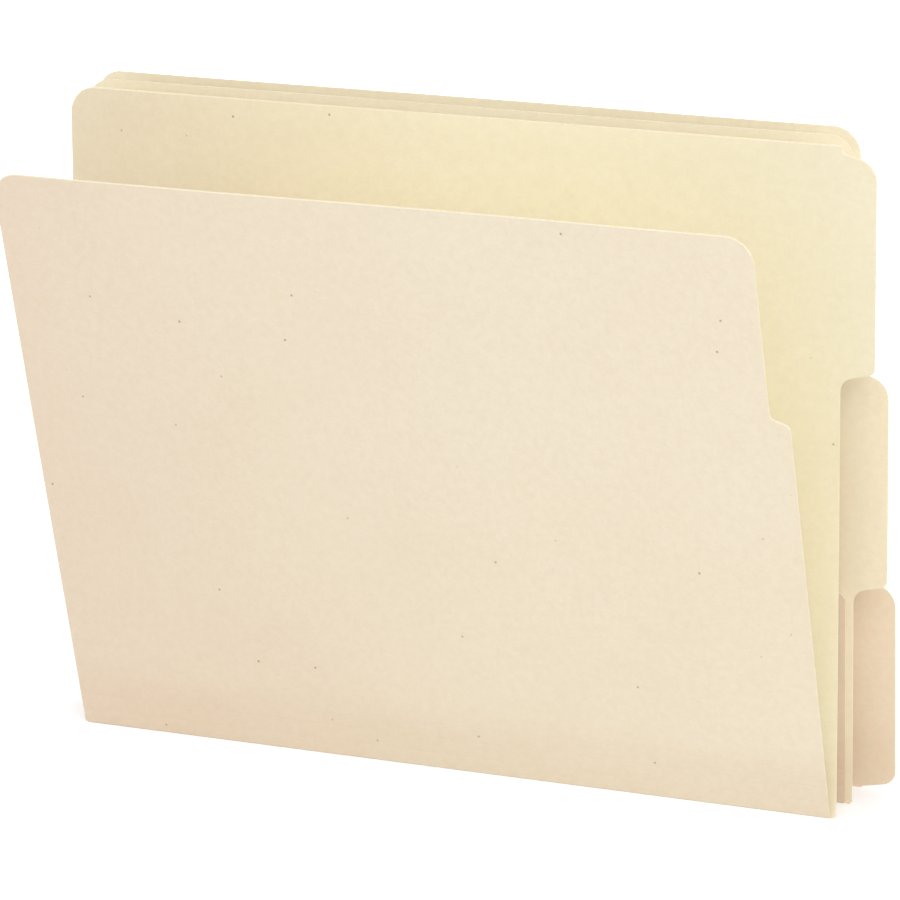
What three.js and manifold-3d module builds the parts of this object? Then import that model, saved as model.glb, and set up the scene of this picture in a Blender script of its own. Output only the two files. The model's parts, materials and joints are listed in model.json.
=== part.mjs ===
// Three nested end-tab file folders, standing on their folds with their tabs to the right.
// Each folder is one die-cut sheet of manila card, divided here at its creases.
// Millimetres, +X towards the tabs, +Y to the rear, +Z up.
import * as THREE from "three";
import { mergeVertices } from "three/addons/utils/BufferGeometryUtils.js";
import Module from "manifold-3d";

const wasm = await Module();
wasm.setup();

// Card and creases
const CARD_THICKNESS = 0.28;
const CREASE_GAP = 0.3;

// Panels of every folder
const BODY_WIDTH = 298.45;
const BACK_HEIGHT = 241.3;
const FRONT_HEIGHT = 228.6;
const BACK_CORNER_RADIUS = 10;
const FRONT_CORNER_RADIUS = 10;
const FOOT_CORNER_RADIUS = 2;
const FRONT_SIDE_INSET = 2.2;

// End tabs, one third of the back panel's height each
const TAB_COUNT = 3;
const TAB_PROJECTION = 12.7;
const TAB_SHOULDER_SLOPE = THREE.MathUtils.degToRad(13.5);
const TAB_TOP_SETBACK = 4.1;
const TAB_FOOT_OVERRUN = 0.6;
const TAB_TOP_RADIUS = 8.2;
const TAB_FOOT_RADIUS = 3;
const TAB_FILLET_RADIUS = 5;
const LAST_TAB_FOOT_SLOPE = THREE.MathUtils.degToRad(11);
const LAST_TAB_FOOT_RADIUS = 5.5;

// Undercut of the front panel beside the tab
const UNDERCUT_DEPTH = 9.4;
const UNDERCUT_MARGIN = 1.4;
const UNDERCUT_STEP_HEIGHT = 2.4;
const UNDERCUT_STEP_RADIUS = 3;

// Expansion scores of the front panel, counted from the fold
const SCORE_COUNT = 3;
const SCORE_SPACING = 6.35;

// How the middle and rear folders stand behind the front one
const MIDDLE_FOLD_DISTANCE = 16.4;
const REAR_FOLD_DISTANCE = 17.8;
const MIDDLE_SHIFT = -0.2;
const REAR_SHIFT = -3.1;

// Folders from front to rear; the leans back and the openings are in degrees
const FOLDERS = [
  { tabThird: 0, foldY: 0, shiftX: 0, backLean: 2.0, opening: 15.24 },
  { tabThird: 1, foldY: MIDDLE_FOLD_DISTANCE, shiftX: MIDDLE_SHIFT, backLean: 1.29, opening: 0.8 },
  {
    tabThird: 2,
    foldY: MIDDLE_FOLD_DISTANCE + REAR_FOLD_DISTANCE,
    shiftX: REAR_SHIFT,
    backLean: 0.34,
    opening: 1.8,
  },
];

// How far the rear panel's card runs round the nose of the fold
const FOLD_WRAP = THREE.MathUtils.degToRad(95);

// Fineness of curves
const CORNER_STEPS = 8;
const FOLD_STEPS = 6;
const ARC_ROOM_SHARE = 0.98;
const NOSE_OVERLAP = 0.1;
const MERGE_DISTANCE = 1e-5;

// The fold is a round nose about the crease line, which is every folder's hinge axis
const innerOffset = CREASE_GAP / 2;
const outerOffset = innerOffset + CARD_THICKNESS;
const noseRadius = outerOffset;
const backTop = BACK_HEIGHT - noseRadius;
const frontTop = FRONT_HEIGHT - noseRadius;
const halfWidth = BODY_WIDTH / 2;
const tabPitch = BACK_HEIGHT / TAB_COUNT;

// Colours of the card
const OUTSIDE_COLOUR = "#ecdac2";
const INSIDE_COLOUR = "#efe3c1";
const CARD_ROUGHNESS = 0.85;

// How much of the side between two corners one corner's arc may take
function sideShare(corner, neighbour) {
  const both = corner.radius + neighbour.radius;
  return both > 0 ? corner.radius / both : 1;
}

// The points of one rounded corner, between the corners before and after it
function cornerArc(before, corner, after) {
  const here = new THREE.Vector2(corner.x, corner.y);
  const toBefore = new THREE.Vector2(before.x, before.y).sub(here);
  const toAfter = new THREE.Vector2(after.x, after.y).sub(here);
  const room = Math.min(
    toBefore.length() * sideShare(corner, before),
    toAfter.length() * sideShare(corner, after),
  );
  toBefore.normalize();
  toAfter.normalize();
  const halfAngle = Math.acos(toBefore.dot(toAfter)) / 2;
  const tangent = Math.min(corner.radius / Math.tan(halfAngle), room * ARC_ROOM_SHARE);
  if (tangent === 0) return [here];
  const radius = tangent * Math.tan(halfAngle);
  const bisector = toBefore.clone().add(toAfter).normalize();
  const centre = here.clone().addScaledVector(bisector, radius / Math.sin(halfAngle));
  const start = here.clone().addScaledVector(toBefore, tangent);
  const end = here.clone().addScaledVector(toAfter, tangent);
  const startSpoke = start.clone().sub(centre);
  const endSpoke = end.clone().sub(centre);
  const turn = Math.atan2(startSpoke.cross(endSpoke), startSpoke.dot(endSpoke));
  const points = [];
  for (let step = 0; step <= CORNER_STEPS; step += 1) {
    points.push(start.clone().rotateAround(centre, (turn * step) / CORNER_STEPS));
  }
  return points;
}

// A closed outline through corners {x, y, radius}; each arc is limited by its sides
function roundedOutline(corners) {
  const points = corners.flatMap((corner, index) => {
    const before = corners[(index + corners.length - 1) % corners.length];
    const after = corners[(index + 1) % corners.length];
    return cornerArc(before, corner, after);
  });
  return new THREE.Shape(points);
}

// Heights of a tab's two shoulders, midway out, above the fold's axis
function tabShoulders(third) {
  return {
    top: backTop - third * tabPitch - TAB_TOP_SETBACK,
    foot: backTop - (third + 1) * tabPitch - TAB_FOOT_OVERRUN,
  };
}

// The rear panel with its end tab, seen from the front: x to the right, y up from the fold
function backOutline(third) {
  const shoulders = tabShoulders(third);
  const halfRise = (TAB_PROJECTION * Math.tan(TAB_SHOULDER_SLOPE)) / 2;
  const lastFootRise = TAB_PROJECTION * Math.tan(LAST_TAB_FOOT_SLOPE);
  const tabEdge = halfWidth + TAB_PROJECTION;
  const isLast = third === TAB_COUNT - 1;
  const isFirst = third === 0;
  const foot = isLast
    ? [
        { x: halfWidth, y: 0, radius: 0 },
        { x: tabEdge, y: lastFootRise, radius: LAST_TAB_FOOT_RADIUS },
      ]
    : [
        { x: halfWidth, y: 0, radius: FOOT_CORNER_RADIUS },
        { x: halfWidth, y: shoulders.foot - halfRise, radius: TAB_FILLET_RADIUS },
        { x: tabEdge, y: shoulders.foot + halfRise, radius: TAB_FOOT_RADIUS },
      ];
  return roundedOutline([
    { x: -halfWidth, y: 0, radius: FOOT_CORNER_RADIUS },
    ...foot,
    { x: tabEdge, y: shoulders.top - halfRise, radius: TAB_TOP_RADIUS },
    { x: halfWidth, y: shoulders.top + halfRise, radius: TAB_FILLET_RADIUS },
    { x: halfWidth, y: backTop, radius: isFirst ? 0 : BACK_CORNER_RADIUS },
    { x: -halfWidth, y: backTop, radius: BACK_CORNER_RADIUS },
  ]);
}

// The front panel and its strips in one, undercut beside the tab
function frontOutline(third) {
  const shoulders = tabShoulders(third);
  const side = halfWidth - FRONT_SIDE_INSET;
  const cutSide = halfWidth - UNDERCUT_DEPTH;
  const footStep = shoulders.foot - UNDERCUT_MARGIN;
  const topStep = shoulders.top + UNDERCUT_MARGIN;
  const halfStep = UNDERCUT_STEP_HEIGHT / 2;
  const lower =
    third === TAB_COUNT - 1
      ? [{ x: cutSide, y: 0, radius: FOOT_CORNER_RADIUS }]
      : [
          { x: side, y: 0, radius: FOOT_CORNER_RADIUS },
          { x: side, y: footStep - halfStep, radius: UNDERCUT_STEP_RADIUS },
          { x: cutSide, y: footStep + halfStep, radius: UNDERCUT_STEP_RADIUS },
        ];
  const upper =
    third === 0
      ? [{ x: cutSide, y: frontTop, radius: FRONT_CORNER_RADIUS }]
      : [
          { x: cutSide, y: topStep - halfStep, radius: UNDERCUT_STEP_RADIUS },
          { x: side, y: topStep + halfStep, radius: UNDERCUT_STEP_RADIUS },
          { x: side, y: frontTop, radius: FRONT_CORNER_RADIUS },
        ];
  return roundedOutline([
    { x: -halfWidth, y: 0, radius: FOOT_CORNER_RADIUS },
    ...lower,
    ...upper,
    { x: -halfWidth, y: frontTop, radius: FRONT_CORNER_RADIUS },
  ]);
}

// A flat piece of card standing on the fold's axis, with its rear face at rearY
function cardPlate(outline, rearY) {
  const options = { depth: CARD_THICKNESS, bevelEnabled: false };
  const geometry = new THREE.ExtrudeGeometry(outline, options);
  geometry.rotateX(Math.PI / 2);
  geometry.translate(0, rearY, 0);
  return geometry;
}

// The rounded nose of the fold, running from the rear panel's foot to just past the ground line
function foldNose() {
  const points = [];
  for (let step = 0; step <= FOLD_STEPS; step += 1) {
    const angle = (-FOLD_WRAP * step) / FOLD_STEPS;
    points.push(new THREE.Vector2(Math.cos(angle), Math.sin(angle)));
  }
  const outer = points.map((point) => point.clone().multiplyScalar(outerOffset));
  const inner = points.map((point) => point.clone().multiplyScalar(innerOffset));
  const profile = new THREE.Shape([
    new THREE.Vector2(innerOffset, NOSE_OVERLAP),
    ...inner,
    ...outer.reverse(),
    new THREE.Vector2(outerOffset, NOSE_OVERLAP),
  ]);
  const length = BODY_WIDTH - 2 * FOOT_CORNER_RADIUS;
  const geometry = new THREE.ExtrudeGeometry(profile, { depth: length, bevelEnabled: false });
  const alongX = new THREE.Matrix4().makeBasis(
    new THREE.Vector3(0, 1, 0),
    new THREE.Vector3(0, 0, 1),
    new THREE.Vector3(1, 0, 0),
  );
  geometry.applyMatrix4(alongX);
  geometry.translate(-length / 2, 0, 0);
  return geometry;
}

// Three.js geometry to a solid for cutting and joining, and back
function toSolid(geometry) {
  const bare = geometry.clone();
  bare.deleteAttribute("normal");
  bare.deleteAttribute("uv");
  const merged = mergeVertices(bare, MERGE_DISTANCE);
  const mesh = new wasm.Mesh({
    numProp: 3,
    vertProperties: new Float32Array(merged.attributes.position.array),
    triVerts: new Uint32Array(merged.index.array),
  });
  return new wasm.Manifold(mesh);
}

function toGeometry(solid) {
  const mesh = solid.getMesh();
  const geometry = new THREE.BufferGeometry();
  geometry.setAttribute("position", new THREE.BufferAttribute(mesh.vertProperties, 3));
  geometry.setIndex(new THREE.BufferAttribute(mesh.triVerts, 1));
  geometry.computeVertexNormals();
  return geometry;
}

function cardMesh(name, solid, colour) {
  const material = new THREE.MeshStandardMaterial({
    color: colour,
    roughness: CARD_ROUGHNESS,
    metalness: 0,
  });
  const mesh = new THREE.Mesh(toGeometry(solid), material);
  mesh.name = name;
  return mesh;
}

// The rear panel: its plate and the nose of the fold, in one piece
function backPanel(name, third) {
  const plate = toSolid(cardPlate(backOutline(third), outerOffset));
  const nose = toSolid(foldNose());
  return cardMesh(name, plate.add(nose), INSIDE_COLOUR);
}

// The band of the front sheet between two heights, the whole width and more
function bandBetween(low, high) {
  const geometry = new THREE.BoxGeometry(2 * BODY_WIDTH, 2 * outerOffset + CARD_THICKNESS, high - low);
  geometry.translate(0, -outerOffset, (low + high) / 2);
  return toSolid(geometry);
}

// The front sheet, parted at its scores into three strips and the front panel
function frontPieces(folderName, third) {
  const sheet = toSolid(cardPlate(frontOutline(third), -innerOffset));
  const creases = [-noseRadius];
  for (let score = 1; score <= SCORE_COUNT; score += 1) {
    creases.push(score * SCORE_SPACING - noseRadius);
  }
  const above = frontTop + SCORE_SPACING;
  return creases.map((crease, index) => {
    const isPanel = index === SCORE_COUNT;
    const low = index === 0 ? crease : crease + CREASE_GAP / 2;
    const high = isPanel ? above : creases[index + 1] - CREASE_GAP / 2;
    const name = isPanel ? "front_panel" : `expansion_strip_${index + 1}`;
    return cardMesh(`${folderName}_${name}`, sheet.intersect(bandBetween(low, high)), OUTSIDE_COLOUR);
  });
}

// One folder: both sheets turn about the crease line, which lies one nose radius above the ground
function folder(place, index) {
  const name = `folder_${index + 1}`;
  const back = new THREE.Group();
  back.rotation.x = -THREE.MathUtils.degToRad(place.backLean);
  back.add(backPanel(`${name}_back_panel`, place.tabThird));
  const front = new THREE.Group();
  front.rotation.x = THREE.MathUtils.degToRad(place.opening - place.backLean);
  front.add(...frontPieces(name, place.tabThird));
  const both = new THREE.Group();
  both.position.set(place.shiftX, place.foldY, noseRadius);
  both.add(back, front);
  return both;
}

const folders = new THREE.Group();
folders.add(...FOLDERS.map(folder));

// The origin is below the middle of the row, on the ground
const group = new THREE.Group();
group.add(folders);
group.updateMatrixWorld(true);
const extent = new THREE.Box3().setFromObject(folders, true);
const middle = extent.getCenter(new THREE.Vector3());
folders.position.set(-middle.x, -middle.y, -extent.min.z);
group.updateMatrixWorld(true);

export default group;
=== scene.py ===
# Three nested end-tab file folders of manila card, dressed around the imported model.
import json
import math

import bpy
from mathutils import Matrix, Vector
from mathutils.geometry import delaunay_2d_cdt


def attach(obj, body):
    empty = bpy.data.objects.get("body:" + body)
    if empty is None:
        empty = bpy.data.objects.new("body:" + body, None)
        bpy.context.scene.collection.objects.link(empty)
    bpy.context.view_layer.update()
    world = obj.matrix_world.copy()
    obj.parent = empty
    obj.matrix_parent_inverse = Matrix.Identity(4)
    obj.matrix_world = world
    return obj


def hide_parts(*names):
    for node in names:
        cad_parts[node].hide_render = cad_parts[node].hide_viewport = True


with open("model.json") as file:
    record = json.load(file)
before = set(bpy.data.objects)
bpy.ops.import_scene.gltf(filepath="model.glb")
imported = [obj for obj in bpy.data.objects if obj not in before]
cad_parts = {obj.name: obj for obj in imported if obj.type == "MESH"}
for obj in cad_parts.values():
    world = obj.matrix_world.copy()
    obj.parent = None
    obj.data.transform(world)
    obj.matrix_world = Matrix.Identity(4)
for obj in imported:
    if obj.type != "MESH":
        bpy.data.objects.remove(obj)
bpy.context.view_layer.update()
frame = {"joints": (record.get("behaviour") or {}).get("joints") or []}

# Real sizes, in metres
MM = 0.001
CARD = 0.28 * MM
CREASE_GAP = 0.3 * MM
BODY_WIDTH = 298.45 * MM
BACK_HEIGHT = 241.3 * MM
FRONT_HEIGHT = 228.6 * MM
BACK_CORNER_RADIUS = 10 * MM
FRONT_CORNER_RADIUS = 10 * MM
FOOT_CORNER_RADIUS = 0.8 * MM
FRONT_SIDE_INSET = 2.2 * MM

# End tabs
TAB_COUNT = 3
TAB_PROJECTION = 12.7 * MM
TAB_SHOULDER_SLOPE = math.radians(13.5)
TAB_TOP_SETBACK = 4.1 * MM
TAB_FOOT_OVERRUN = 0.6 * MM
TAB_TOP_RADIUS = 8.2 * MM
TAB_FOOT_RADIUS = 3 * MM
TAB_FILLET_RADIUS = 5 * MM
TOP_FILLET_RADIUS = 2.6 * MM
LAST_TAB_FOOT_SLOPE = math.radians(11)
LAST_TAB_FOOT_RADIUS = 5.5 * MM

# Undercut beside the tab
UNDERCUT_DEPTH = 9.4 * MM
UNDERCUT_MARGIN = 1.4 * MM
UNDERCUT_STEP_HEIGHT = 2.4 * MM
UNDERCUT_STEP_RADIUS = 3 * MM

# Scores
SCORE_COUNT = 3
SCORE_SPACING = 6.35 * MM

# How each folder stands, front to rear, in degrees
BACK_LEANS = (2.0, 1.29, 0.34)
OPENINGS = (15.24, 0.8, 1.8)

# The fold's nose, about the hinge axis
INNER_OFFSET = CREASE_GAP / 2
OUTER_OFFSET = INNER_OFFSET + CARD
HALF_WIDTH = BODY_WIDTH / 2
BACK_TOP = BACK_HEIGHT - OUTER_OFFSET
FRONT_TOP = FRONT_HEIGHT - OUTER_OFFSET
TAB_PITCH = BACK_HEIGHT / TAB_COUNT

# Material places of every piece; the third is the painted highlight of cut rims
OUTER_FACE, INNER_FACE, RIM_HIGHLIGHT = range(3)

# Fineness of the meshes
ARC_STEPS = 14
FOLD_STEPS = 10
SIDE_STEP = 8 * MM
GRID_STEP = 9 * MM
GRID_MARGIN = 2.5 * MM
POINT_DISTANCE = 1e-4
SMALL_RADIUS = 2.5 * MM
SAME_HEIGHT = 1e-6

# A corner's arcs take at most this share of a side
ARC_SHARE = 0.98

# Two sides turn less than a corner where the sine of their angle is below this
NEARLY_STRAIGHT = 0.3

# Cross-sections of a plate's rim: steps of (inset, depth below the face)
CUT_RIM = ((0.5, 0.0), (0.05, 0.015), (0.0, 0.07))
SCORE_GROOVE = ((0.6, 0.0), (0.3, 0.02), (-0.02, 0.045))
SCORE_BEAD = ((0.6, 0.0), (0.3, -0.012), (-0.02, -0.022))
FOLD_RIM = ((0.03, 0.0), (0.015, 0.0), (0.0, 0.0))

# A cut rim gets the painted highlight where its edge faces up by more than this share
UPWARD_SHARE = 0.35

# How far the card runs round the nose of the fold, from each side
BACK_WRAP = math.radians(95)
FRONT_WRAP = math.radians(88)
WRAP_CLEARANCE = 0.005 * MM

# The gentle wave of each sheet towards its free edges, the same in both its panels
WAVE_HEIGHT = 0.45 * MM
WAVE_LENGTH = 210 * MM
WAVE_START = 20 * MM
WAVE_PHASES = (0.8, 2.9, 4.4)
WAVE_WAYS = (1, 1, -1)


def side_share(corner, neighbour):
    """The share of the side between two corners that one corner's arc may take."""
    both = corner[2] + neighbour[2]
    return corner[2] / both if both > 0 else 1.0


def corner_arc(before, corner, after):
    """The points of one rounded corner (x, s, radius) between its neighbours."""
    here = Vector(corner[:2])
    to_before = Vector(before[:2]) - here
    to_after = Vector(after[:2]) - here
    room = min(to_before.length * side_share(corner, before), to_after.length * side_share(corner, after))
    to_before.normalize()
    to_after.normalize()
    half_angle = math.acos(max(-1.0, min(1.0, to_before.dot(to_after)))) / 2
    tangent = min(corner[2] / math.tan(half_angle), room * ARC_SHARE)
    if tangent <= 0:
        return [here]
    radius = tangent * math.tan(half_angle)
    centre = here + (to_before + to_after).normalized() * (radius / math.sin(half_angle))
    start = here + to_before * tangent - centre
    end = here + to_after * tangent - centre
    turn = math.atan2(start.x * end.y - start.y * end.x, start.dot(end))
    steps = ARC_STEPS if radius > SMALL_RADIUS else ARC_STEPS // 2
    return [centre + Matrix.Rotation(turn * i / steps, 2) @ start for i in range(steps + 1)]


def rounded_outline(corners):
    """A closed outline, counter-clockwise, with long sides cut into short steps."""
    points = []
    for i, corner in enumerate(corners):
        points += corner_arc(corners[i - 1], corner, corners[(i + 1) % len(corners)])
    fine = []
    for i, point in enumerate(points):
        after = points[(i + 1) % len(points)]
        parts = max(1, round((after - point).length / SIDE_STEP))
        fine += [point.lerp(after, k / parts) for k in range(parts)]
    return fine


def tab_shoulders(third):
    """Heights of a tab's two shoulders, midway out, above the fold's axis."""
    top = BACK_TOP - third * TAB_PITCH - TAB_TOP_SETBACK
    foot = BACK_TOP - (third + 1) * TAB_PITCH - TAB_FOOT_OVERRUN
    return top, foot


def back_outline(third):
    """The rear panel with its end tab, up from the fold's axis."""
    top, foot = tab_shoulders(third)
    half_rise = TAB_PROJECTION * math.tan(TAB_SHOULDER_SLOPE) / 2
    tab_edge = HALF_WIDTH + TAB_PROJECTION
    if third == TAB_COUNT - 1:
        lower = [
            (HALF_WIDTH, 0, 0),
            (tab_edge, TAB_PROJECTION * math.tan(LAST_TAB_FOOT_SLOPE), LAST_TAB_FOOT_RADIUS),
        ]
    else:
        lower = [
            (HALF_WIDTH, 0, FOOT_CORNER_RADIUS),
            (HALF_WIDTH, foot - half_rise, TAB_FILLET_RADIUS),
            (tab_edge, foot + half_rise, TAB_FOOT_RADIUS),
        ]
    return rounded_outline([
        (-HALF_WIDTH, 0, FOOT_CORNER_RADIUS),
        *lower,
        (tab_edge, top - half_rise, TAB_TOP_RADIUS),
        (HALF_WIDTH, top + half_rise, TOP_FILLET_RADIUS if third == 0 else TAB_FILLET_RADIUS),
        (HALF_WIDTH, BACK_TOP, 0 if third == 0 else BACK_CORNER_RADIUS),
        (-HALF_WIDTH, BACK_TOP, BACK_CORNER_RADIUS),
    ])


def front_side(third):
    """Where the front sheet's right edge lies at its foot."""
    return HALF_WIDTH - (UNDERCUT_DEPTH if third == TAB_COUNT - 1 else FRONT_SIDE_INSET)


def front_outline(third, low):
    """The front panel above its last score, undercut beside the tab."""
    top, foot = tab_shoulders(third)
    side = HALF_WIDTH - FRONT_SIDE_INSET
    cut_side = HALF_WIDTH - UNDERCUT_DEPTH
    foot_step = foot - UNDERCUT_MARGIN
    top_step = top + UNDERCUT_MARGIN
    half_step = UNDERCUT_STEP_HEIGHT / 2
    lower = [(front_side(third), low, 0)]
    if third < TAB_COUNT - 1:
        lower += [
            (side, foot_step - half_step, UNDERCUT_STEP_RADIUS),
            (cut_side, foot_step + half_step, UNDERCUT_STEP_RADIUS),
        ]
    upper = [(cut_side, FRONT_TOP, FRONT_CORNER_RADIUS)]
    if third > 0:
        upper = [
            (cut_side, top_step - half_step, UNDERCUT_STEP_RADIUS),
            (side, top_step + half_step, UNDERCUT_STEP_RADIUS),
            (side, FRONT_TOP, FRONT_CORNER_RADIUS),
        ]
    return rounded_outline([
        (-HALF_WIDTH, low, 0),
        *lower,
        *upper,
        (-HALF_WIDTH, FRONT_TOP, FRONT_CORNER_RADIUS),
    ])


def strip_outline(third, low, high):
    """An expansion strip between two creases; the first has the sheet's rounded foot."""
    radius = FOOT_CORNER_RADIUS if low == 0 else 0
    side = front_side(third)
    return rounded_outline([
        (-HALF_WIDTH, low, radius),
        (side, low, radius),
        (side, high, 0),
        (-HALF_WIDTH, high, 0),
    ])


def inset_point(before, here, after, inset_before, inset_after):
    """here moved inwards by one inset from the side before it and another from the side after it."""
    side_in = (here - before).normalized()
    side_out = (after - here).normalized()
    normal_in = Vector((-side_in.y, side_in.x))
    normal_out = Vector((-side_out.y, side_out.x))
    cross = normal_in.x * normal_out.y - normal_in.y * normal_out.x
    if abs(cross) < NEARLY_STRAIGHT:
        return here + (normal_in + normal_out).normalized() * ((inset_before + inset_after) / 2)
    a = (inset_before * normal_out.y - inset_after * normal_in.y) / cross
    b = (inset_after * normal_in.x - inset_before * normal_out.x) / cross
    return here + Vector((a, b))


def side_kinds(outline, low, low_kind, high, high_kind):
    """The rim kind of each side of an outline: "cut", "score" or "fold"."""
    kinds = []
    for i, point in enumerate(outline):
        after = outline[(i + 1) % len(outline)]
        kind = "cut"
        if low_kind and max(abs(point.y - low), abs(after.y - low)) < SAME_HEIGHT:
            kind = low_kind
        if high_kind and max(abs(point.y - high), abs(after.y - high)) < SAME_HEIGHT:
            kind = high_kind
        kinds.append(kind)
    return kinds


RIMS = {
    "outer": {"cut": CUT_RIM, "score": SCORE_GROOVE, "fold": FOLD_RIM},
    "inner": {"cut": CUT_RIM, "score": SCORE_BEAD, "fold": FOLD_RIM},
}


def rim_rings(outline, kinds, face):
    """Three rings of (x, s, depth) from the flat face's edge to the plate's side."""
    rings = []
    for step in range(3):
        ring = []
        for i, here in enumerate(outline):
            before_rim = RIMS[face][kinds[i - 1]][step]
            after_rim = RIMS[face][kinds[i]][step]
            before, after = outline[i - 1], outline[(i + 1) % len(outline)]
            point = inset_point(before, here, after, before_rim[0] * MM, after_rim[0] * MM)
            depth = (before_rim[1] + after_rim[1]) / 2 * MM
            ring.append((point.x, point.y, depth))
        rings.append(ring)
    return rings


def inside(point, loop):
    """Whether a point lies in a closed loop."""
    hit = False
    for i, a in enumerate(loop):
        b = loop[i - 1]
        if (a.y > point.y) != (b.y > point.y):
            if point.x < (b.x - a.x) * (point.y - a.y) / (b.y - a.y) + a.x:
                hit = not hit
    return hit


def grid_points(loop):
    """Points of a regular grid that lie well inside a loop."""
    xs = [p.x for p in loop]
    ys = [p.y for p in loop]
    columns = max(2, round((max(xs) - min(xs)) / GRID_STEP))
    rows = max(2, round((max(ys) - min(ys)) / GRID_STEP))
    points = []
    for i in range(1, columns):
        for j in range(1, rows):
            x = min(xs) + (max(xs) - min(xs)) * i / columns
            y = min(ys) + (max(ys) - min(ys)) * j / rows
            point = Vector((x, y))
            if inside(point, loop) and min((point - q).length for q in loop) > GRID_MARGIN:
                points.append(point)
    return points


def card_wave(x, s, index):
    """How far a folder's card stands off its flat plane, growing from its crease to its free edge."""
    rise = max(0.0, s - WAVE_START) / BACK_HEIGHT
    swing = 1 + math.sin(2 * math.pi * x / WAVE_LENGTH + WAVE_PHASES[index])
    return WAVE_WAYS[index] * WAVE_HEIGHT * rise * rise * swing


class Card:
    """A plate of card: its outline, where its creases lie and which way it faces."""

    def __init__(
        self, index, outline, low, low_kind, high=None, high_kind=None, facing=1, wrap=0.0, shrink=0.0
    ):
        """facing is 1 for a rear panel and -1 for a front one; wrap is the angle it runs round the nose."""
        self.index = index
        self.outline = outline
        self.kinds = side_kinds(outline, low, low_kind, high, high_kind)
        self.facing = facing
        self.wrap = wrap
        self.shrink = shrink
        self.vertices = []
        self.faces = []
        self.materials = []

    def add_vertex(self, x, s, height):
        """height is the distance from the fold's axis plane, outwards from the folder."""
        self.vertices.append((x, self.facing * height + card_wave(x, s, self.index), s))
        return len(self.vertices) - 1

    def add_face(self, corners, material):
        """Adds a face, given counter-clockwise as seen from outside for a plate facing +Y."""
        order = corners if self.facing > 0 else corners[::-1]
        self.faces.append(order)
        self.materials.append(material)

    def build(self):
        """Both faces, the rim between them in five bands, and the nose of the fold."""
        outer = rim_rings(self.outline, self.kinds, "outer")
        inner = rim_rings(self.outline, self.kinds, "inner")
        rings = [[self.add_vertex(x, s, OUTER_OFFSET - d) for x, s, d in ring] for ring in outer]
        rings += [[self.add_vertex(x, s, INNER_OFFSET + d) for x, s, d in ring] for ring in inner[::-1]]
        self.fill_face(outer[0], rings[0], OUTER_OFFSET, OUTER_FACE)
        self.fill_face(inner[0], rings[-1], INNER_OFFSET, INNER_FACE)
        count = len(self.outline)
        for step in range(5):
            for i in range(count):
                j = (i + 1) % count
                kind = self.kinds[i]
                if step == 2 and kind == "fold" and self.wrap:
                    continue
                side = self.outline[j] - self.outline[i]
                # Upward-facing cut rims get the painted highlight; the others keep the face tones
                if kind == "cut" and -side.x > UPWARD_SHARE * side.length:
                    material = RIM_HIGHLIGHT
                else:
                    material = OUTER_FACE if step < 2 else INNER_FACE
                a, b = rings[step], rings[step + 1]
                self.add_face([a[i], a[j], b[j], b[i]], material)
        if self.wrap:
            self.wrap_fold(rings[2], rings[3])

    def fill_face(self, ring, ids, height, material):
        """One flat face: its rim ring and a grid of points inside, triangulated in millimetres."""
        scale = 1 / MM
        loop = [Vector((x, s)) for x, s, _ in ring]
        spare = grid_points(loop)
        points = [p * scale for p in loop + spare]
        numbers = ids + [self.add_vertex(p.x, p.y, height) for p in spare]
        border = list(range(len(loop)))
        result = delaunay_2d_cdt(points, [], [border], 1, POINT_DISTANCE)
        origin = [numbers[o[0]] for o in result[3]]
        for triangle in result[2]:
            corners = [origin[k] for k in triangle]
            self.add_face(corners[::-1] if material == OUTER_FACE else corners, material)

    def wrap_fold(self, outer, inner):
        """Carries the card on from its foot round the nose of the fold."""
        run = [i for i, kind in enumerate(self.kinds) if kind == "fold"]
        run.append((run[-1] + 1) % len(self.outline))
        rows = [([outer[i] for i in run], [inner[i] for i in run])]
        for step in range(1, FOLD_STEPS + 1):
            angle = self.wrap * step / FOLD_STEPS
            cos, sin = math.cos(angle), math.sin(angle)
            row = []
            for radius in (OUTER_OFFSET - self.shrink, INNER_OFFSET + self.shrink):
                ids = []
                for i in run:
                    self.vertices.append((self.outline[i].x, self.facing * radius * cos, -radius * sin))
                    ids.append(len(self.vertices) - 1)
                row.append(ids)
            rows.append(tuple(row))
        for (outer_a, inner_a), (outer_b, inner_b) in zip(rows, rows[1:]):
            for k in range(len(run) - 1):
                self.add_face([outer_a[k], outer_a[k + 1], outer_b[k + 1], outer_b[k]], OUTER_FACE)
                self.add_face([inner_a[k + 1], inner_a[k], inner_b[k], inner_b[k + 1]], INNER_FACE)
            self.add_face([outer_a[0], outer_b[0], inner_b[0], inner_a[0]], RIM_HIGHLIGHT)
            self.add_face([inner_a[-1], inner_b[-1], outer_b[-1], outer_a[-1]], RIM_HIGHLIGHT)
        last_outer, last_inner = rows[-1]
        for k in range(len(run) - 1):
            self.add_face([last_outer[k], last_outer[k + 1], last_inner[k + 1], last_inner[k]], INNER_FACE)


def node(tree, kind, **values):
    """A shader node with its properties and named inputs set."""
    made = tree.nodes.new(kind)
    for key, value in values.items():
        if hasattr(made, key):
            setattr(made, key, value)
        else:
            made.inputs[key].default_value = value
    return made


def noise(tree, place, scale, detail, roughness=0.5, stretch=(1, 1, 1), distortion=0.0):
    """A noise value over the object, finer along the axes whose stretch is larger."""
    mapping = node(tree, "ShaderNodeMapping")
    mapping.inputs["Scale"].default_value = stretch
    tree.links.new(place, mapping.inputs["Vector"])
    made = node(tree, "ShaderNodeTexNoise", Scale=scale, Detail=detail)
    made.inputs["Roughness"].default_value = roughness
    made.inputs["Distortion"].default_value = distortion
    tree.links.new(mapping.outputs["Vector"], made.inputs["Vector"])
    return made.outputs["Fac"]


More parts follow.
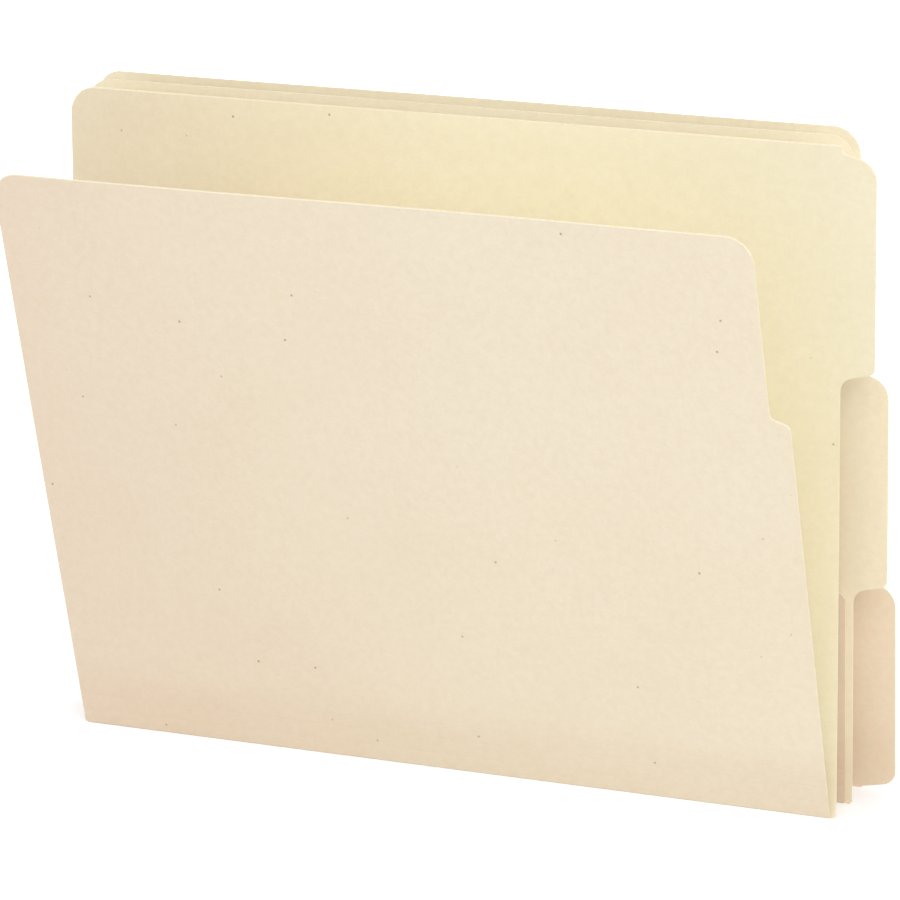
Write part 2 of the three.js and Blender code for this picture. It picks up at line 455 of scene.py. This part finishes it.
def spread(tree, value, low, high, dark, light):
    """Maps a value from low..high to dark..light, clamped."""
    made = node(tree, "ShaderNodeMapRange")
    made.inputs["From Min"].default_value = low
    made.inputs["From Max"].default_value = high
    made.inputs["To Min"].default_value = dark
    made.inputs["To Max"].default_value = light
    tree.links.new(value, made.inputs["Value"])
    return made.outputs["Result"]


# The Mix node's sockets for colours, which share their names with those for other types
MIX_FACTOR, MIX_FIRST, MIX_SECOND, MIX_RESULT = 0, 6, 7, 2


def mixed(tree, factor, first, second, blend="MIX"):
    """A colour mix; each argument is a colour or a socket, and factor a number or a socket."""
    made = node(tree, "ShaderNodeMix", data_type="RGBA", blend_type=blend)
    for number, value in ((MIX_FACTOR, factor), (MIX_FIRST, first), (MIX_SECOND, second)):
        if isinstance(value, bpy.types.NodeSocket):
            tree.links.new(value, made.inputs[number])
        else:
            made.inputs[number].default_value = value
    return made.outputs[MIX_RESULT]


def linear(red, green, blue):
    """A colour given as 0 to 255 screen values, as shader colours are."""
    def channel(value):
        value /= 255
        return value / 12.92 if value <= 0.04045 else ((value + 0.055) / 1.055) ** 2.4
    return (channel(red), channel(green), channel(blue), 1.0)


# Painted shade laid on the card by place: darker at its foot and its far side, warmer on the rear folders'
# tabs and darker at its top corners
FOOT_SHADE_HEIGHTS = (15 * MM, 27 * MM)
FOOT_SHADE_TINT = (0.975, 0.955, 0.94)
SIDE_SHADE_PLACES = (-150 * MM, 10 * MM)
SIDE_SHADE_STRENGTH = 0.8
TAB_WARM_SHADE_PLACES = (124 * MM, 137 * MM)
TAB_WARM_SHADE_HEIGHTS = (160 * MM, 190 * MM)
CORNER_SHADE_PLACES = (50 * MM, 140 * MM)
CORNER_SHADE_HEIGHTS = (90 * MM, 190 * MM)

# Layers of the pulp: the noise, the range of it that shows, its strength there, and its tint
DARK_PULP = (0.93, 0.905, 0.87)
LIGHT_FIBRE = (1.02, 1.035, 1.06)
CLOUDS = {"scale": 16, "detail": 2}
MOTTLE = {"scale": 330, "detail": 4, "roughness": 0.7}
FIBRES = {"scale": 1000, "detail": 3, "roughness": 0.6, "stretch": (0.6, 1, 1), "distortion": 1.2}
SHIVES = {"scale": 800, "detail": 2, "stretch": (0.45, 1, 1), "distortion": 2.0}
PULP_LAYERS = (
    (CLOUDS, (0.3, 0.7), (0.5, 0.0), (0.97, 0.95, 0.93)),
    (MOTTLE, (0.38, 0.7), (0.0, 0.5), DARK_PULP),
    (FIBRES, (0.5, 0.7), (0.0, 0.8), LIGHT_FIBRE),
    (SHIVES, (0.68, 0.8), (0.0, 0.7), DARK_PULP),
)

# Small dark specks, one at most to each cell of this spacing
SPECK_SPACING = 14 * MM
SPECK_RADIUS = 0.65 * MM
SPECK_CORE = 0.3
SPECK_STRENGTH = 0.75
SPECK_TONE = linear(156, 120, 92)

# The card's surface
ROUGHNESS_NOISE = {"scale": 700, "detail": 2}
ROUGHNESS_RANGE = (0.76, 0.9)
GRAIN = {"scale": 1500, "detail": 3, "roughness": 0.65}
GRAIN_STRENGTH = 0.3
GRAIN_HEIGHT = 0.025 * MM
CARD_SPECULAR = 0.25

# The painted highlight on an upward cut rim, in fine layers across the card's thickness
EDGE_LAYERS = {"scale": 900, "detail": 3, "roughness": 0.6, "stretch": (1, 6, 1)}
EDGE_SHADE = 0.9
EDGE_ROUGHNESS = 0.9
EDGE_SPECULAR = 0.2


def tinted(tree, factor, colour, tint):
    """colour multiplied by a tint of red, green and blue factors, as far as factor says."""
    return mixed(tree, factor, colour, (*tint, 1.0), "MULTIPLY")


def product(tree, first, second):
    """Two sockets multiplied."""
    made = node(tree, "ShaderNodeMath", operation="MULTIPLY")
    tree.links.new(first, made.inputs[0])
    tree.links.new(second, made.inputs[1])
    return made.outputs[0]


def manila(name, base, side_shade_tint, tab_warm_shade, corner_shade_tint):
    """Uncoated manila card: cloudy pulp, short fibres and a few dark specks, with painted shade laid on by
    place.
    """
    material = bpy.data.materials.new(name)
    material.use_nodes = True
    tree = material.node_tree
    shader = tree.nodes["Principled BSDF"]
    place = node(tree, "ShaderNodeTexCoord").outputs["Object"]
    split = node(tree, "ShaderNodeSeparateXYZ")
    tree.links.new(place, split.inputs[0])
    outwards = node(tree, "ShaderNodeMath", operation="ABSOLUTE")
    tree.links.new(split.outputs["X"], outwards.inputs[0])

    # Painted shade: darker and warmer towards the foot
    foot = spread(tree, split.outputs["Z"], *FOOT_SHADE_HEIGHTS, 1.0, 0.0)
    # Painted shade: darker and pinker towards the far left side
    side = spread(tree, split.outputs["X"], *SIDE_SHADE_PLACES, SIDE_SHADE_STRENGTH, 0.0)
    # Painted warm shade: the rear folders' tabs warmer low down, where they stand in shade behind the front
    # folder
    tab_shade_out = spread(tree, split.outputs["X"], *TAB_WARM_SHADE_PLACES, 0.0, 1.0)
    tab_shade_down = spread(tree, split.outputs["Z"], *TAB_WARM_SHADE_HEIGHTS, 1.0, 0.0)
    # Painted shade: darker towards both top corners
    corner_shade_out = spread(tree, outwards.outputs[0], *CORNER_SHADE_PLACES, 0.0, 1.0)
    corner_shade_up = spread(tree, split.outputs["Z"], *CORNER_SHADE_HEIGHTS, 0.0, 1.0)
    colour = tinted(tree, foot, base, FOOT_SHADE_TINT)
    colour = tinted(tree, side, colour, side_shade_tint)
    colour = tinted(tree, product(tree, tab_shade_out, tab_shade_down), colour, tab_warm_shade)
    colour = tinted(tree, product(tree, corner_shade_out, corner_shade_up), colour, corner_shade_tint)
    for layer, seen, strength, tint in PULP_LAYERS:
        shown = spread(tree, noise(tree, place, **layer), *seen, *strength)
        colour = tinted(tree, shown, colour, tint)

    cells = node(tree, "ShaderNodeTexVoronoi", Scale=1 / SPECK_SPACING, Randomness=1.0)
    tree.links.new(place, cells.inputs["Vector"])
    reach = SPECK_RADIUS / SPECK_SPACING
    speck = spread(tree, cells.outputs["Distance"], reach * SPECK_CORE, reach, SPECK_STRENGTH, 0.0)
    colour = mixed(tree, speck, colour, SPECK_TONE)
    tree.links.new(colour, shader.inputs["Base Color"])

    rough = spread(tree, noise(tree, place, **ROUGHNESS_NOISE), 0.3, 0.7, *ROUGHNESS_RANGE)
    tree.links.new(rough, shader.inputs["Roughness"])
    shader.inputs["Specular IOR Level"].default_value = CARD_SPECULAR
    bump = node(tree, "ShaderNodeBump", Strength=GRAIN_STRENGTH, Distance=GRAIN_HEIGHT)
    tree.links.new(noise(tree, place, **GRAIN), bump.inputs["Height"])
    tree.links.new(bump.outputs["Normal"], shader.inputs["Normal"])
    return material


def painted_highlight_rim(name, base):
    """A painted highlight on the card's upward cut rims: a paler tone, in fine layers."""
    material = bpy.data.materials.new(name)
    material.use_nodes = True
    tree = material.node_tree
    shader = tree.nodes["Principled BSDF"]
    place = node(tree, "ShaderNodeTexCoord").outputs["Object"]
    layers = spread(tree, noise(tree, place, **EDGE_LAYERS), 0.35, 0.7, 0.0, 1.0)
    colour = tinted(tree, layers, base, (EDGE_SHADE, EDGE_SHADE, EDGE_SHADE))
    tree.links.new(colour, shader.inputs["Base Color"])
    shader.inputs["Roughness"].default_value = EDGE_ROUGHNESS
    shader.inputs["Specular IOR Level"].default_value = EDGE_SPECULAR
    return material


# Card tones, front folder to rear: the outside and the inside of each sheet, one manila with painted light
# in it: the insides paler and yellower for the light and bounce light inside each folder, the rear folders'
# outsides warmer as painted shade
OUTSIDE_TONES = (linear(240, 228, 205), linear(242, 223, 196), linear(240, 223, 197))
INSIDE_TONES_PAINTED_LIGHT = (linear(247, 239, 210), linear(250, 242, 214), linear(247, 240, 213))
# The paler tone of the painted highlight on upward cut rims
RIM_HIGHLIGHT_TONE = linear(251, 240, 214)

# Red, green and blue factors of the painted shade on a face: at its far side, its tab and its top corners
PLAIN = (1.0, 1.0, 1.0)
# Painted shade at the far left side: darker and pinker
SIDE_TINT = (0.965, 0.9, 0.9)
OUTSIDE_TINTS = (SIDE_TINT, PLAIN, PLAIN)
# Painted shade on the insides: the front folder darker at its far side and top corners, the rear folders
# warmer on their tabs
INSIDE_TINTS = (
    (SIDE_TINT, PLAIN, (0.91, 0.91, 0.92)),
    (PLAIN, (1.02, 0.985, 0.98), PLAIN),
    (PLAIN, (1.05, 0.955, 0.95), PLAIN),
)

joint_places = {joint["name"]: Vector(joint["pos_m"]) for joint in frame["joints"] if "pos_m" in joint}
rim_highlight_material = painted_highlight_rim("card_cut_edge", RIM_HIGHLIGHT_TONE)


def add_piece(card, number, part, turn, body):
    """Builds a card plate, stands it on its folder's fold and gives it to its body."""
    card.build()
    mesh = bpy.data.meshes.new(part)
    place = Matrix.Translation(joint_places[f"folder_{number}_opening"]) @ Matrix.Rotation(turn, 4, "X")
    mesh.from_pydata([place @ Vector(v) for v in card.vertices], [], card.faces)
    for face, material in zip(mesh.polygons, card.materials):
        face.material_index = material
    mesh.validate()
    mesh.materials.append(outside_materials[number - 1])
    mesh.materials.append(inside_materials[number - 1])
    mesh.materials.append(rim_highlight_material)
    piece = bpy.data.objects.new(f"folder_{number}_{part}_card", mesh)
    bpy.context.scene.collection.objects.link(piece)
    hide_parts(f"folder_{number}_{part}")
    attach(piece, f"folder_{number}_{body}")


outside_materials = []
inside_materials = []
for index, tints in enumerate(INSIDE_TINTS):
    outside_materials.append(manila(f"manila_outside_{index + 1}", OUTSIDE_TONES[index], *OUTSIDE_TINTS))
    inside_materials.append(manila(f"manila_inside_{index + 1}", INSIDE_TONES_PAINTED_LIGHT[index], *tints))

# The rear panel of each folder, with its tab and the nose of its fold
for index, lean in enumerate(BACK_LEANS):
    back = Card(index, back_outline(index), 0, "fold", wrap=BACK_WRAP)
    add_piece(back, index + 1, "back_panel", -math.radians(lean), "back")

# The front sheet of each folder: three strips between creases, and the front panel
for index, (lean, opening) in enumerate(zip(BACK_LEANS, OPENINGS)):
    turn = math.radians(opening - lean)
    low = 0
    low_kind = "fold"
    for score in range(1, SCORE_COUNT + 1):
        high = score * SCORE_SPACING - OUTER_OFFSET
        outline = strip_outline(index, low, high)
        wrap = FRONT_WRAP if score == 1 else 0.0
        strip = Card(
            index, outline, low, low_kind, high, "score", facing=-1, wrap=wrap, shrink=WRAP_CLEARANCE
        )
        add_piece(strip, index + 1, f"expansion_strip_{score}", turn, f"strip_{score}")
        low = high
        low_kind = "score"
    front = Card(index, front_outline(index, low), low, "score", facing=-1)
    add_piece(front, index + 1, "front_panel", turn, "front")

# The camera stands where the photograph was taken from
CAMERA_AZIMUTH = math.radians(24.833)
CAMERA_ELEVATION = math.radians(16.293)
CAMERA_ROLL = math.radians(-1.399)
CAMERA_DISTANCE = 1.976
CAMERA_LENS = 221.8
CAMERA_SENSOR = 36.0
CAMERA_TARGET_SIDE = 3.1 * MM
CAMERA_TARGET_HEIGHT = 120.8 * MM


def add_camera():
    """A camera aimed over the fold of the front folder."""
    data = bpy.data.cameras.new("camera")
    data.lens = CAMERA_LENS
    data.sensor_width = CAMERA_SENSOR
    camera = bpy.data.objects.new("camera", data)
    bpy.context.scene.collection.objects.link(camera)
    sin_a, cos_a = math.sin(CAMERA_AZIMUTH), math.cos(CAMERA_AZIMUTH)
    sin_e, cos_e = math.sin(CAMERA_ELEVATION), math.cos(CAMERA_ELEVATION)
    back = Vector((sin_a * cos_e, -cos_a * cos_e, sin_e))
    level = Vector((cos_a, sin_a, 0))
    upright = back.cross(level)
    right = level * math.cos(CAMERA_ROLL) + upright * math.sin(CAMERA_ROLL)
    up = upright * math.cos(CAMERA_ROLL) - level * math.sin(CAMERA_ROLL)
    matrix = Matrix((right, up, back)).transposed().to_4x4()
    fold = joint_places["folder_1_opening"]
    target = Vector((fold.x + CAMERA_TARGET_SIDE, fold.y, CAMERA_TARGET_HEIGHT))
    matrix.translation = target + back * CAMERA_DISTANCE
    camera.matrix_world = matrix
    bpy.context.scene.camera = camera


# Soft square lamps, all at one distance: name, azimuth, elevation, side length and power
LAMP_DISTANCE = 2.2
LAMP_AIM_HEIGHT = 0.12
LAMPS = (
    ("key", 45, 35, 1.8, 12),
    ("side_key", 60, 25, 1.8, 19),
    ("left_fill", -45, 25, 1.4, 4.5),
    ("left_top", -60, 60, 1.6, 14),
    ("rear_top", 150, 45, 1.4, 8),
    ("rear_fill", 190, 15, 1.4, 14),
)


def add_soft_light(name, azimuth, elevation, size, power):
    """A square area light that looks at the middle of the row."""
    data = bpy.data.lights.new(name, "AREA")
    data.shape = "SQUARE"
    data.size = size
    data.energy = power
    light = bpy.data.objects.new(name, data)
    bpy.context.scene.collection.objects.link(light)
    a, e = math.radians(azimuth), math.radians(elevation)
    back = Vector((math.sin(a) * math.cos(e), -math.cos(a) * math.cos(e), math.sin(e)))
    light.location = Vector((0, 0, LAMP_AIM_HEIGHT)) + back * LAMP_DISTANCE
    light.rotation_mode = "QUATERNION"
    light.rotation_quaternion = back.to_track_quat("Z", "Y")


def seen_directly(tree):
    """1 for rays of the camera, of reflections and through clear materials, 0 for light on the object."""
    path = node(tree, "ShaderNodeLightPath")
    seen = path.outputs["Is Camera Ray"]
    for kind in ("Is Glossy Ray", "Is Transmission Ray"):
        either = node(tree, "ShaderNodeMath", operation="MAXIMUM")
        tree.links.new(seen, either.inputs[0])
        tree.links.new(path.outputs[kind], either.inputs[1])
        seen = either.outputs[0]
    return seen


def with_white(tree, shader_output, strength):
    """Adds a plain white glow that is only seen and lights nothing; strength is a socket."""
    glow = node(tree, "ShaderNodeEmission", Color=WHITE)
    tree.links.new(strength, glow.inputs["Strength"])
    none = node(tree, "ShaderNodeEmission", Color=WHITE, Strength=0.0)
    choice = node(tree, "ShaderNodeMixShader")
    tree.links.new(seen_directly(tree), choice.inputs[0])
    tree.links.new(none.outputs[0], choice.inputs[1])
    tree.links.new(glow.outputs[0], choice.inputs[2])
    total = node(tree, "ShaderNodeAddShader")
    tree.links.new(shader_output, total.inputs[0])
    tree.links.new(choice.outputs[0], total.inputs[1])
    return total.outputs[0]


# The floor's glow is only seen, and grows outwards, where the lamps reach it less
FLOOR_SIZE = 12.0
FLOOR_DROP = 0.05 * MM
FLOOR_COLOUR = (0.8, 0.8, 0.8, 1.0)
FLOOR_GLOW = 0.34
FLOOR_GLOW_PLACES = (0.5, 1.2)

WHITE = (1.0, 1.0, 1.0, 1.0)
WORLD_LIGHT = 0.49


def add_floor():
    """A plain white floor that keeps the object's shadow."""
    mesh = bpy.data.meshes.new("floor")
    half = FLOOR_SIZE / 2
    corners = [(-half, -half, 0), (half, -half, 0), (half, half, 0), (-half, half, 0)]
    mesh.from_pydata(corners, [], [(0, 1, 2, 3)])
    floor = bpy.data.objects.new("floor", mesh)
    bpy.context.scene.collection.objects.link(floor)
    floor.location.z = -FLOOR_DROP
    material = bpy.data.materials.new("floor_white")
    material.use_nodes = True
    tree = material.node_tree
    tree.nodes.clear()
    diffuse = node(tree, "ShaderNodeBsdfDiffuse", Color=FLOOR_COLOUR)
    distance = node(tree, "ShaderNodeVectorMath", operation="LENGTH")
    tree.links.new(node(tree, "ShaderNodeTexCoord").outputs["Object"], distance.inputs[0])
    glow = spread(tree, distance.outputs["Value"], *FLOOR_GLOW_PLACES, FLOOR_GLOW, 1.0)
    output = node(tree, "ShaderNodeOutputMaterial")
    tree.links.new(with_white(tree, diffuse.outputs[0], glow), output.inputs["Surface"])
    mesh.materials.append(material)


def set_world():
    """A plain even light, seen as white."""
    world = bpy.data.worlds.new("studio")
    bpy.context.scene.world = world
    world.use_nodes = True
    tree = world.node_tree
    tree.nodes.clear()
    lit = node(tree, "ShaderNodeBackground", Color=WHITE, Strength=WORLD_LIGHT)
    white = node(tree, "ShaderNodeBackground", Color=WHITE, Strength=1.0)
    choice = node(tree, "ShaderNodeMixShader")
    output = node(tree, "ShaderNodeOutputWorld")
    tree.links.new(seen_directly(tree), choice.inputs[0])
    tree.links.new(lit.outputs[0], choice.inputs[1])
    tree.links.new(white.outputs[0], choice.inputs[2])
    tree.links.new(choice.outputs[0], output.inputs["Surface"])


add_camera()
set_world()
add_floor()
for lamp in LAMPS:
    add_soft_light(*lamp)

bpy.context.scene.view_settings.view_transform = "Standard"
